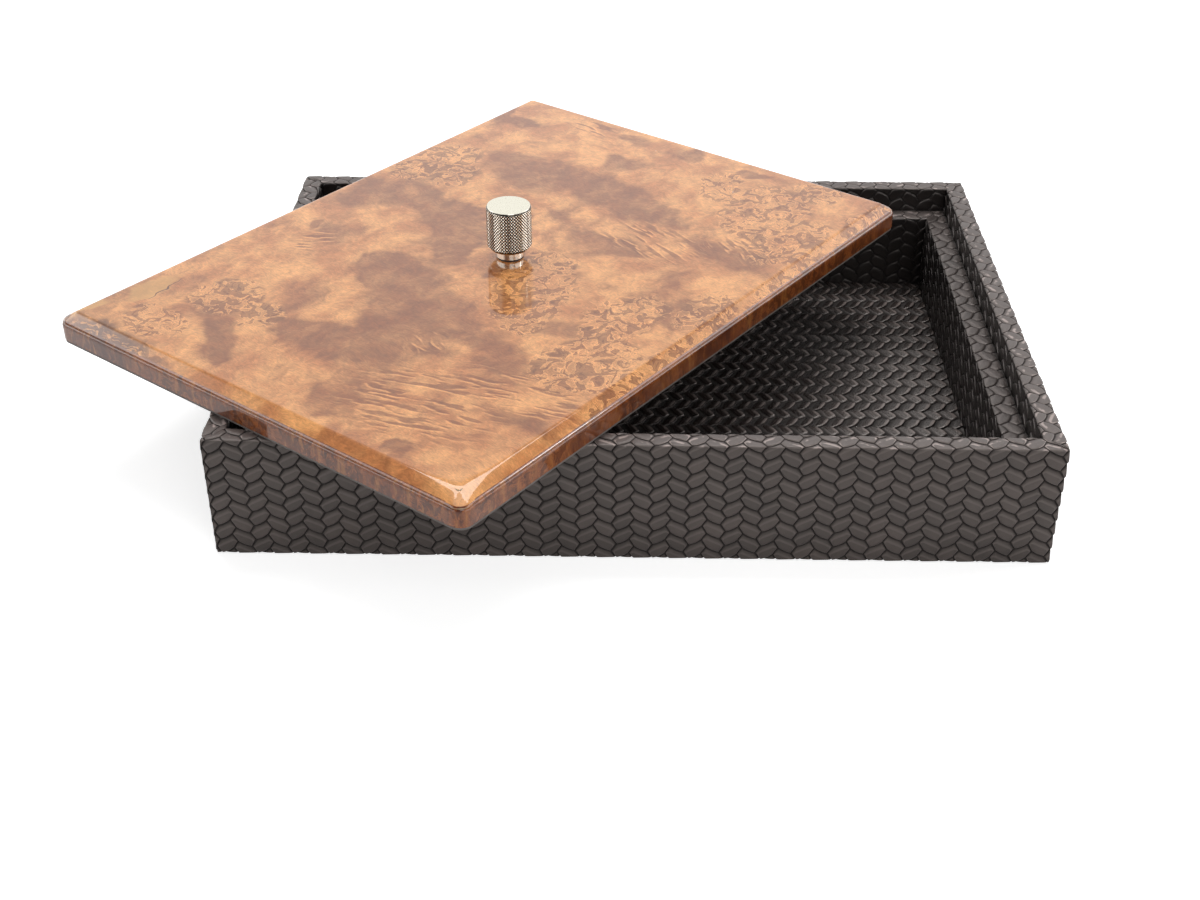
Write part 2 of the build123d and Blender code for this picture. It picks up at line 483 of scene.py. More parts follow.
def four_sides(sheets, node, finish):
    """Set a front sheet and a right sheet in place, and their copies opposite."""
    pieces = list(sheets)
    for sheet in sheets:
        twin = sheet.copy()
        twin.data = sheet.data.copy()
        bpy.context.collection.objects.link(twin)
        pieces.append(twin)
    for number, (side, piece) in enumerate(zip(SIDES, pieces)):
        piece.name = piece.data.name = f"plaited_{node}_{side}"
        settle(piece, Matrix.Rotation(QUARTER * number, 4, "Z"))
        hand_over(piece, "case", "woven_leather", [f"{node}_{side}"], finish)


# --- Shader nodes ---


class Wire:
    """What one socket of a node tree gives, with short calls for the nodes behind it."""

    def __init__(self, socket):
        self.socket = socket

    def then(self, kind, inputs=(), output=0, **settings):
        return add(self.socket.id_data, kind, inputs, **settings)(output)

    def math(self, operation, *others, **settings):
        return self.then("ShaderNodeMath", enumerate((self, *others)), operation=operation, **settings)

    def __add__(self, other):
        return self.math("ADD", other)

    def __sub__(self, other):
        return self.math("SUBTRACT", other)

    def __mul__(self, other):
        return self.math("MULTIPLY", other)

    def most(self, other):
        return self.math("MAXIMUM", other)

    def inverse(self):
        return self.math("POWER", -1.0)

    def away(self, centre):
        """How far a value is from a centre, either way."""
        return (self - centre).math("ABSOLUTE")

    def spread(self, low, high, to_low=0.0, to_high=1.0, kind="SMOOTHSTEP"):
        """Lead a value from low to high softly over to the range from to_low to to_high."""
        inputs = enumerate((self, low, high, to_low, to_high))
        return self.then("ShaderNodeMapRange", inputs, interpolation_type=kind)

    def mix(self, first, second):
        """Mix two colours by this amount of the second."""
        return self.then("ShaderNodeMix", {0: self, 6: first, 7: second}, 2, data_type="RGBA")

    def shaded(self, other):
        """Multiply this colour or tone with another."""
        inputs = {0: 1.0, 6: self, 7: other}
        return self.then("ShaderNodeMix", inputs, 2, data_type="RGBA", blend_type="MULTIPLY")

    def vector(self, operation, other=(0, 0, 0)):
        output = "Value" if operation == "LENGTH" else "Vector"
        return self.then("ShaderNodeVectorMath", {0: self, 1: other}, output, operation=operation)

    def scaled(self, factor):
        return self.then("ShaderNodeVectorMath", {0: self, "Scale": factor}, operation="SCALE")

    def turned_back(self, turn):
        """Turn places about the upright, against a given turn."""
        inputs = {"Vector": self, "Angle": turn * -1.0}
        return self.then("ShaderNodeVectorRotate", inputs, rotation_type="Z_AXIS")

    def noise(self, scale, detail=2.0, roughness=0.5, distortion=0.0, output="Fac"):
        labels = ("Vector", "Scale", "Detail", "Roughness", "Distortion")
        inputs = zip(labels, (self, scale, detail, roughness, distortion))
        return self.then("ShaderNodeTexNoise", inputs, output)

    def stretched_noise(self, stretch, detail, roughness):
        return self.vector("MULTIPLY", stretch).noise(1.0, detail, roughness)

    def cells(self, scale, feature="F1", output="Distance"):
        return self.then("ShaderNodeTexVoronoi", {"Vector": self, "Scale": scale}, output, feature=feature)

    def warp(self, scale, reach, detail=2.0):
        """Shift places by noise, up to about half of reach each way."""
        cloud = self.noise(scale, detail, output="Color")
        return self.vector("ADD", cloud.vector("SUBTRACT", (0.5, 0.5, 0.5)).scaled(reach))

    def bump(self, distance, strength):
        """Normals for a height, at a distance in millimetres."""
        inputs = {"Height": self, "Distance": distance * MM, "Strength": strength}
        return self.then("ShaderNodeBump", inputs, "Normal")

    def attribute(self, name):
        return self.then("ShaderNodeAttribute", output="Fac", attribute_name=name)

    def use(self, name, **inputs):
        """Place a shared group here with its own values."""
        return add(self.socket.id_data, "ShaderNodeGroup", {"Place": self, **inputs}, node_tree=group(name))


def feed(socket, value):
    """Lead a wire to a socket, or set the socket's own value."""
    if isinstance(value, Wire):
        socket.id_data.links.new(value.socket, socket)
    else:
        socket.default_value = value


def add(tree, kind, inputs=(), **settings):
    """Add a node, and give what calls up its outputs."""
    node = tree.nodes.new(kind)
    for key, value in settings.items():
        setattr(node, key, value)
    for key, value in dict(inputs).items():
        feed(node.inputs[key], value)
    return lambda output=0: Wire(node.outputs[output])


def group(name):
    """A shared node group, made the first time that it is used."""
    tree = bpy.data.node_groups.get(name)
    if tree is None:
        fill, inputs = GROUPS[name]
        tree = bpy.data.node_groups.new(name, "ShaderNodeTree")
        for label, default in {"Place": (0, 0, 0), **inputs}.items():
            kind = "NodeSocketVector" if isinstance(default, tuple) else "NodeSocketFloat"
            tree.interface.new_socket(label, in_out="INPUT", socket_type=kind).default_value = default
        made = fill(add(tree, "NodeGroupInput"))
        for label in made:
            tree.interface.new_socket(label, in_out="OUTPUT", socket_type="NodeSocketFloat")
        ends = tree.nodes.new("NodeGroupOutput").inputs
        for label, wire in made.items():
            feed(ends[label], wire)
    return tree


def soft_patch(given):
    """Soft oval patch in a figure: 1 in its middle and 0 outside."""
    turned = given("Place").vector("SUBTRACT", given("Centre")).turned_back(given("Turn"))
    return {"Mask": turned.vector("DIVIDE", given("Reach")).vector("LENGTH").spread(1.0, given("Edge"))}


def burl_eyes(given):
    """Burl eyes: crowded dark blobs with darker rims and hearts, fine rings and pale curls round them."""
    swirl = given("Place").warp(0.11, 7.0).noise(0.145, 3.0, 0.5, 1.5)
    blob = swirl.spread(0.525, 0.56)
    heart = swirl.spread(0.60, 0.67)
    rim = swirl.away(0.54).spread(0.024, 0.004)
    rings = (swirl * 62.0).math("SINE").math("ABSOLUTE").spread(0.5, 0.08)
    curl = swirl.away(0.485).spread(0.032, 0.006)
    line = swirl.away(0.425).spread(0.014, 0.003)
    ground = given("Amount").spread(0.0, 0.5)
    dark = (blob * 0.62).most(heart * 0.9).most(rim * 0.85).most(rings * 0.5)
    return {"Dark": dark * ground, "Pale": curl.most(line * 0.6) * ground, "Ground": ground}


def curly_grain(given):
    """Curly grain: short dark lines side by side, each with a pale line along it."""
    turned = given("Place").warp(0.045, 4.5, 1.0).turned_back(given("Turn"))
    stretched = turned.scaled(given("Spacing").inverse()).vector("MULTIPLY", (0.19, 1.0, 1.0))
    dark = stretched.noise(1.0, 1.0, 0.4).spread(0.51, 0.62)
    beside = stretched.vector("ADD", (0.02, 0.38, 0)).noise(1.0, 1.0, 0.4).spread(0.50, 0.61)
    pale = beside.math("SUBTRACT", dark, use_clamp=True)
    return {"Dark": dark * given("Amount"), "Pale": pale * given("Amount")}


def specks(given):
    """Fine specks of dust or fibre, thinly scattered."""
    scale = given("Spacing").inverse()
    near = given("Place").warp(1.2, 0.5).cells(scale)
    chance = given("Place").cells(scale, output="Color")
    return {"Mask": near.math("LESS_THAN", given("Size") * scale * chance)}


def fine_grain(given):
    """Fine pebble grain, as on leather, board and felt: its height and its colour variation."""
    place, scale = given("Place"), given("Size").inverse()
    pebbles = place.warp(0.8, 0.6).cells(scale, "DISTANCE_TO_EDGE")
    height = pebbles.spread(0.0, 0.35) + place.noise(scale, 4.0, 0.6) * 0.8
    return {"Height": height, "Tone": place.noise(0.09, 4.0, 0.6)}


# What fills each shared group, and the inputs that it has besides a place
GROUPS = {
    "soft_patch": (soft_patch, {"Centre": (0, 0, 0), "Reach": (10, 10, 10), "Turn": 0.0, "Edge": 0.35}),
    "burl_eyes": (burl_eyes, {"Amount": 1.0}),
    "curly_grain": (curly_grain, {"Turn": 0.0, "Spacing": 3.0, "Amount": 1.0}),
    "specks": (specks, {"Spacing": 9.0, "Size": 0.25}),
    "fine_grain": (fine_grain, {"Size": 0.5}),
}


def rgba(colour, factor=1.0):
    return (*(min(1.0, part * factor) for part in colour), 1.0)


# --- Finishes ---

# Gloss of plaited leather, with its painted light. Heights run from 0 in the grooves to 1 on the far edge of
# a strand, and past 1 on its lifted near edge. Low heights take the groove colour as painted shade; a band
# of heights near the top gets a painted highlight.
WALL_GLOSS_AND_PAINTED_LIGHT = {
    "shine": 0.72, "rough": 0.34, "grooved": (0.40, 0.85), "highlit_heights": ((0.80, 0.90), (1.0, 0.94)),
    "edge_highlight": 0.55, "highlight_gain": 3.0,
}
FLOOR_GLOSS_AND_PAINTED_LIGHT = {
    "shine": 0.68, "rough": 0.20, "grooved": (0.55, 1.25), "highlit_heights": ((1.2, 1.5), (3.0, 2.0)),
    "edge_highlight": 0.75, "highlight_gain": 10.0,
}
# Painted shade: the tray floor gets a darker copy of the wall leather.
FLOOR_PAINTED_SHADE = 0.9
LINT = (0.42, 0.40, 0.38, 1)
LACQUER = {
    "Roughness": 0.42, "Specular IOR Level": 0.15,
    "Coat Weight": 1.0, "Coat Roughness": 0.025, "Coat IOR": 1.5,
}


def new_finish(name, origin=(0, 0, 0), turn=0.0):
    """A new material, and places in millimetres from an origin, turned about the upright."""
    material = bpy.data.materials.new(name)
    material.use_nodes = True
    coordinates = add(material.node_tree, "ShaderNodeTexCoord")("Object")
    inputs = {"Vector": coordinates, "Location": origin, "Rotation": (0, 0, turn), "Scale": (MM, MM, MM)}
    return material, coordinates.then("ShaderNodeMapping", inputs, vector_type="TEXTURE")


def dress(material, sockets):
    """Feed the sockets of a material's Principled shader."""
    for label, value in sockets.items():
        feed(material.node_tree.nodes["Principled BSDF"].inputs[label], value)
    return material


def leather_finish(name, colour, groove_shade, wear_and_sheen):
    """Dark embossed leather: strands that differ in tone and fine grain, with painted light: highlights and
    glints along raised edges, sheen on level tops, and shade in the grooves and inside the tray.
    """
    material, place = new_finish(name)
    grain = place.use("fine_grain", Size=0.55)
    relief, level = place.attribute("relief"), place.attribute("level")
    tone = place.attribute("tone").spread(-1, 1, 0.70, 1.30, "LINEAR")
    cloud = grain("Tone").spread(0.3, 0.7, 0.82, 1.2)
    warmer = rgba((colour[0] * 1.12, colour[1] * 1.05, colour[2] * 1.02))
    strand = cloud.mix(rgba(colour, 0.9), warmer).shaded(tone * cloud)
    # Painted highlight: a band of heights along the raised edges of each strand is made paler.
    rise, fall = wear_and_sheen["highlit_heights"]
    edge = relief.spread(*rise) * relief.spread(*fall)
    strand = (edge * wear_and_sheen["edge_highlight"]).mix(strand, rgba(colour, wear_and_sheen["highlight_gain"]))
    # Painted sheen: where the leather lies level, on rims and ledges, it is made lighter.
    strand = (level * 0.6).mix(strand, rgba(colour, 3.2))
    # Painted glints: broken dashes of near white along the strand edges where the leather lies level.
    glint_dashes = place.noise(0.22).spread(0.50, 0.62)
    strand = (edge * level * glint_dashes).mix(strand, rgba(colour, 12.0))
    # Painted shade: the faces inside the tray are darkened almost to the groove colour.
    strand = (place.attribute("inside") * 0.96).mix(strand, rgba(groove_shade))
    # Painted shade: the grooves take the near black groove colour.
    dark = relief.spread(*wear_and_sheen["grooved"]).mix(rgba(groove_shade), strand)
    lint = place.use("specks", Spacing=26.0, Size=0.5)("Mask")
    return dress(material, {
        "Base Color": lint.mix(dark, LINT),
        "Roughness": grain("Tone") * 0.08 + relief.spread(0.5, 0.95, 0.85, wear_and_sheen["rough"]),
        "Specular IOR Level": wear_and_sheen["shine"],
        "Specular Tint": (1.0, 0.90, 0.85, 1),
        "Normal": grain("Height").bump(0.06, 0.5),
    })


# Where the figure of the top lies, in millimetres from the lid's middle along its sides:
# x, y, reach along and across, turn in degrees
CLOUDS = (
    (-107, 20, 18, 20, 0), (-60, 2, 60, 30, 50), (-45, 36, 24, 20, 0), (-98, -10, 32, 34, 0),
    (-80, -55, 28, 50, -15), (-111, -103, 15, 26, 10), (8, 100, 32, 28, 0), (22, 60, 26, 42, -12),
    (-3, 30, 40, 14, 40), (80, 50, 24, 50, 4), (90, -2, 27, 54, -6), (62, -84, 19, 40, -18),
    (143, 34, 12, 18, 0), (148, -4, 15, 22, 0), (130, 92, 12, 24, 20), (-142, 44, 18, 18, -40),
    (-40, -68, 11, 20, 0), (-155, -73, 10, 15, 0), (5, -100, 22, 13, 20), (44, -42, 8, 26, -12),
    (136, 112, 28, 12, 10), (-30, 98, 10, 6, 0), (-127, 52, 11, 22, -35), (30, 20, 16, 10, 30),
    (120, 20, 12, 26, 10), (-20, -8, 14, 10, 0), (150, -50, 9, 14, 0),
)
EYES = (
    (-142, 78, 15, 21, 0), (-108, 70, 21, 20, 30), (-112, 45, 15, 12, 0), (60, 96, 34, 20, -10),
    (52, 76, 20, 13, 0), (-17, -32, 46, 24, 28), (-57, -94, 32, 27, 0), (-16, -82, 29, 20, 0),
    (10, -106, 24, 14, 0), (126, -38, 22, 14, 20), (112, -73, 40, 27, 20), (92, -100, 34, 19, 0),
    (148, -82, 14, 16, 0), (-46, -52, 12, 12, 0), (-40, -119, 62, 10, 0), (60, -120, 46, 9, 0),
    (135, -119, 36, 11, 0),
)
SCAR = ((-124, 103, 19, 8, 0), (-150, 110, 12, 4, -8))
CRACK = ((-121, 98, 17, 0.5, 3),)
# Where the top is streaked darker, near the far left corner.
DARK_STREAKS = ((-163, 84, 10, 48, 0), (-150, 118, 26, 8, 0))
# Where the border is darker, at the far left corner.
DARK_CORNER = ((-166, 92, 12, 32, 0),)
# x, y, reach along and across, direction of the lines in degrees
RIPPLES = (
    (-122, -60, 34, 46, -72), (-92, -88, 18, 40, -72), (-84, -28, 14, 9, 68), (-44, 82, 17, 13, -55),
    (52, -48, 22, 36, 74), (146, 56, 9, 22, 84), (73, -88, 16, 26, 60),
)


def patch(place, oval, edge):
    """Mask of one oval of a layout."""
    x, y, along, across, turn = oval
    shape = {"Centre": (x, y, 0), "Reach": (along, across, 60), "Turn": math.radians(turn), "Edge": edge}
    return place.use("soft_patch", **shape)("Mask")


def patches(place, layout, edge, together="MAXIMUM"):
    """Where any of the ovals of a layout lies."""
    masks = [patch(place, oval, edge) for oval in layout]
    return functools.reduce(lambda total, mask: mask.math(together, total), masks)


def ripple_lines(place, near):
    """The curly grain of the top, each patch with lines in its own direction."""
    total = turning = 0.0
    for *oval, turn in RIPPLES:
        mask = patch(near, (*oval, 0.0), 0.5)
        total = mask + total
        turning = mask * math.radians(turn) + turning
    direction = turning.math("DIVIDE", total.most(0.01))
    return place.use("curly_grain", Turn=direction, Spacing=2.5, Amount=total.math("MINIMUM", 1.0))


def burl_colour(place, clouds, eyes, ripples, lid):
    """Colour of burl veneer from where its clouds, eyes and curly grain lie."""
    flow = place.warp(0.02, 16.0).warp(0.11, 5.0)
    colour = flow.noise(0.055, 4.0, 0.55).spread(0.34, 0.66).mix(rgba(lid.mid), rgba(lid.pale))
    for mask, share, wood, factor in (
        (clouds, flow.noise(0.085, 3.0, 0.6).spread(0.35, 0.65, 0.60, 0.84), lid.dark, 1.2),
        (ripples("Dark"), 0.68, lid.dark, 1.1),
        (ripples("Pale"), 0.55, lid.pale, 1.2),
        (eyes("Ground"), 0.2, lid.pale, 1.0),
        (eyes("Pale"), 0.75, lid.pale, 1.15),
        (eyes("Dark"), 0.92, lid.dark, 0.95),
    ):
        colour = (mask * share).mix(colour, rgba(wood, factor))
    fibre = flow.stretched_noise((1.9, 0.35, 1.0), 4.0, 0.6).spread(0.25, 0.75, 0.78, 1.17)
    pores = place.noise(1.6, 2.0, 0.6).spread(0.3, 0.7, 0.93, 1.06)
    wisps = flow.noise(0.13, 5.0, 0.6, 1.6).spread(0.38, 0.62, 0.88, 1.07)
    return colour.shaded(fibre * pores * wisps)


def burl_top_finish(lid, origin):
    """Burl of the flat top and its slope under gloss lacquer, laid out in the lid's own directions."""
    scar_wood, dust = (0.80, 0.46, 0.15, 1), (0.9, 0.85, 0.8, 1)
    darker_wood = rgba(lid.dark, 0.5)
    material, place = new_finish("burl_top", origin, lid.turn)
    bent = place.warp(0.016, 34.0).warp(0.06, 14.0)
    near = place.warp(0.09, 12.0)
    mass = bent.noise(0.034, 4.0, 0.55) * 2.2 + -1.06
    clouds = (patches(bent, CLOUDS, 0.0, "ADD") + mass).spread(0.02, 0.52)
    eyes = place.use("burl_eyes", Amount=patches(near, EYES, 0.55))
    colour = burl_colour(place, clouds, eyes, ripple_lines(place, near), lid)
    colour = (patches(near, SCAR, 0.6) * 0.45).mix(colour, scar_wood)
    colour = patches(near, CRACK, 0.4).mix(colour, darker_wood)
    streaks = near.stretched_noise((0.45, 0.05, 1.0), 3.0, 0.6).spread(0.32, 0.50)
    colour = (patches(near, DARK_STREAKS, 0.4) * streaks * 0.9).mix(colour, darker_wood)
    colour = (place.use("specks", Spacing=22.0, Size=0.45)("Mask") * 0.7).mix(colour, dust)
    return dress(material, {"Base Color": colour, **LACQUER})


def burl_border_finish(lid, origin):
    """Burl of the upright sides and the rounded edge over them: a figure of its own, streaked, and painted
    darker as shade.
    """
    # Painted shade: this colour darkens the whole border.
    kept = (0.40, 0.26, 0.18, 1)
    material, place = new_finish("burl_border", origin, lid.turn)
    broad = place.noise(0.028, 3.0, 0.5)
    clouds = broad.spread(0.48, 0.66).most(patches(place.warp(0.09, 12.0), DARK_CORNER, 0.5))
    eyes = place.use("burl_eyes", Amount=place.noise(0.022, 1.0).spread(0.47, 0.58))
    ripples = place.use("curly_grain", Turn=math.radians(35), Spacing=3.0, Amount=broad.spread(0.46, 0.40))
    colour = burl_colour(place, clouds, eyes, ripples, lid)
    across = place.warp(0.06, 7.0).stretched_noise((0.30, 0.30, 0.05), 4.0, 0.6)
    colour = across.spread(0.54, 0.66, 0.0, 0.6).mix(colour, rgba(lid.pale, 1.6))
    colour = across.spread(0.48, 0.36, 0.0, 0.55).mix(colour, rgba(lid.dark, 0.8))
    # Painted shade: the border is darkened by that colour.
    return dress(material, {"Base Color": colour.shaded(kept), **LACQUER})


def metal_finish(name, colour, roughness):
    """Turned metal with fine rubbing marks."""
    material, place = new_finish(name)
    marks = place.stretched_noise((1.5, 1.5, 6.0), 3.0, 0.6)
    tone = (marks + place.noise(0.35, 3.0, 0.5) * 0.5).spread(0.4, 1.1, 0.9, 1.06)
    return dress(material, {
        "Base Color": tone.shaded(rgba(colour)),
        "Metallic": 1.0,
        "Roughness": marks.spread(0.3, 0.7, roughness - 0.05, roughness + 0.07),
        "Normal": marks.bump(0.01, 0.3),
    })


def knurl_finish(colour, top):
    """Bright nickel with painted shade in the grooves between the knurl diamonds, and a satin top face,
    rougher and painted darker as shade.
    """
    # Painted shade: a darker colour for the top face, and a near black one for the knurl grooves.
    satin_top_shade, knurl_groove_shade = (0.47, 0.47, 0.33, 1), (0.05, 0.038, 0.027, 1)
    material, place = new_finish("knurled_nickel")
    marks = place.noise(1.4, 3.0, 0.6)
    height = place.then("ShaderNodeSeparateXYZ", {0: place}, "Z")
    on_top = height.spread(top / MM - 0.12, top / MM - 0.04)
    tone = marks.spread(0.3, 0.7, 0.92, 1.06).shaded(rgba(colour))
    # Painted shade: the top face is darkened.
    satin_top_shaded = (on_top * 0.35).mix(tone, satin_top_shade)
    # Painted shade: the knurl grooves are coloured near black.
    outside_groove_shade = place.attribute("relief").spread(0.36, 0.90)
    return dress(material, {
        "Base Color": outside_groove_shade.mix(knurl_groove_shade, satin_top_shaded),
        "Metallic": 1.0,
        "Roughness": on_top * 0.16 + marks.spread(0.3, 0.7, 0.10, 0.16),
        "Normal": marks.bump(0.01, 0.3),
    })


def fibre_finish(name, colour, size, depth, stretch=(1, 1, 1), roughness=0.9):
    """Matt fibrous stuff: board, card, felt or lining cloth."""
    material, place = new_finish(name)
    place = place.vector("MULTIPLY", stretch)
    grain = place.use("fine_grain", Size=size)
    fleck = place.noise(1.0 / size, 3.0, 0.7)
    tone = grain("Tone").spread(0.3, 0.7, -0.08, 0.08) + fleck.spread(0.3, 0.7, 0.85, 1.12)
    return dress(material, {
        "Base Color": tone.shaded(rgba(colour)),
        "Roughness": fleck.spread(0.2, 0.8, roughness - 0.1, roughness + 0.05),
        "Normal": grain("Height").bump(depth, 0.6),
    })


# --- Operators ---


class BOX_OT_wall_leather(bpy.types.Operator):
    """Wrap the four walls in plaited leather, over the rim and down inside"""

    bl_idname = "box.wall_leather"
    bl_label = "Wall leather"

    def execute(self, context):
        look = context.scene.box_leather
        edge = look.soft_edge
        sheets = []
        spare = 4 * MM
        saved = look.soft_corner * (math.pi / 4 - 1)  # below 0, as rounding shortens the way to a corner
        shift = 0.0
        for side in SIDES[:2]:
            low, high, along, across, face = seen_from_side("wall_leather", side)
            inner_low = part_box(f"ledge_leather_{side}")[0].z
            runs = (high.z - edge - low.z, across - 2 * edge, high.z - edge - inner_low)
            length_up = sum(runs) + math.pi * edge
            sheet = plait_sheet(
                f"wall_{side}", along + 2 * saved + spare, (low.z, low.z + length_up), look.pair, look.row,
                (look.start_along + shift, look.start_up), look.relief, look.tilt * WALL_TILT, look.bow,
                BACKING,
            )
            fold_sheet(sheet, low.z, runs, edge, 0.0, (face, low.z), 1.0)
            round_corners(sheet, along / 2, face, look.soft_corner)
            mitre(sheet, along / 2, face)
            sheets.append(sheet)
            # The plait runs on round the corner
            next_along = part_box("wall_leather_right")[1].y
            shift = -(along / 2 + next_along + 2 * saved)
        finish = leather_finish("plaited_leather", look.colour, look.groove_shade, WALL_GLOSS_AND_PAINTED_LIGHT)
        four_sides(sheets, "wall_leather", finish)
        return {"FINISHED"}


class BOX_OT_ledge_leather(bpy.types.Operator):
    """Cover the ledge and the inner walls of the tray with plaited leather"""

    bl_idname = "box.ledge_leather"
    bl_label = "Ledge leather"

    def execute(self, context):
        look = context.scene.box_leather
        edge = look.soft_edge
        sheets = []
        spare = 2 * MM
        # Painted sheen: the front ledge, and its copy at the back, are lightened more where they lie level
        # than the right and left.
        for side, wear_and_sheen in (("front", 0.8), ("right", 0.1)):
            low, high, along, across, face = seen_from_side("ledge_leather", side)
            case_low, case_high, _, _, case_face = seen_from_side("wall_leather", side)
            axis = 0 if side == "front" else 1
            half = (case_high[axis] - case_low[axis]) / 2
            runs = (across - edge, (high - low).z - edge)
            reach = sum(runs) + QUARTER * edge
            sheet = plait_sheet(
                f"ledge_{side}", along + spare, (0, reach), look.pair, look.row,
                (look.start_along, look.start_up), look.relief, look.tilt * LEDGE_TILT, look.bow, BACKING,
            )
            self.press_welt(sheet, look.welt)
            fold_sheet(sheet, 0.0, runs, edge, QUARTER, (face, high.z), wear_and_sheen)
            mitre(sheet, half, case_face)
            sheets.append(sheet)
        four_sides(sheets, "ledge_leather", bpy.data.materials["plaited_leather"])
        return {"FINISHED"}

    def press_welt(self, sheet, width):
        """Press the edge beside the wall down, less and less as far as a width from it."""
        begin(sheet)
        for share in (0.35, 0.7, 1.0):
            cut((0, share * width, 0), (0, 1, 0))
        end()
        relief = sheet.data.attributes["relief"].data
        for index, vertex in enumerate(sheet.data.vertices):
            share = max(0.0, 1 - vertex.co.y / width)
            if vertex.co.z > -UNDERSIDE:
                vertex.co.z -= share ** 0.7 * WELT_DEPTH
                relief[index].value *= 1 - share


class BOX_OT_floor_leather(bpy.types.Operator):
    """Lay plaited leather on the tray floor"""

    bl_idname = "box.floor_leather"
    bl_label = "Floor leather"

    def execute(self, context):
        look = context.scene.box_leather
        # Painted shade: the floor leather is darkened.
        colour = [FLOOR_PAINTED_SHADE * part for part in look.colour]
        low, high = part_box("floor_leather")
        floor = plait_sheet(
            "plaited_floor", high.y - low.y, (low.x, high.x), look.floor_pair, look.floor_row, (0, 0),
            look.floor_relief, look.tilt * FLOOR_TILT, look.bow, high.z - low.z,
        )
        settle(floor, Matrix.Translation((0, 0, high.z)) @ Matrix.Rotation(QUARTER, 4, "Z"))
        tidy_normals(floor)
        smooth(floor, SHARP_LEATHER)
        finish = leather_finish("plaited_floor_leather", colour, look.groove_shade, FLOOR_GLOSS_AND_PAINTED_LIGHT)
        hand_over(floor, "case", "woven_leather", ["floor_leather"], finish)
        return {"FINISHED"}


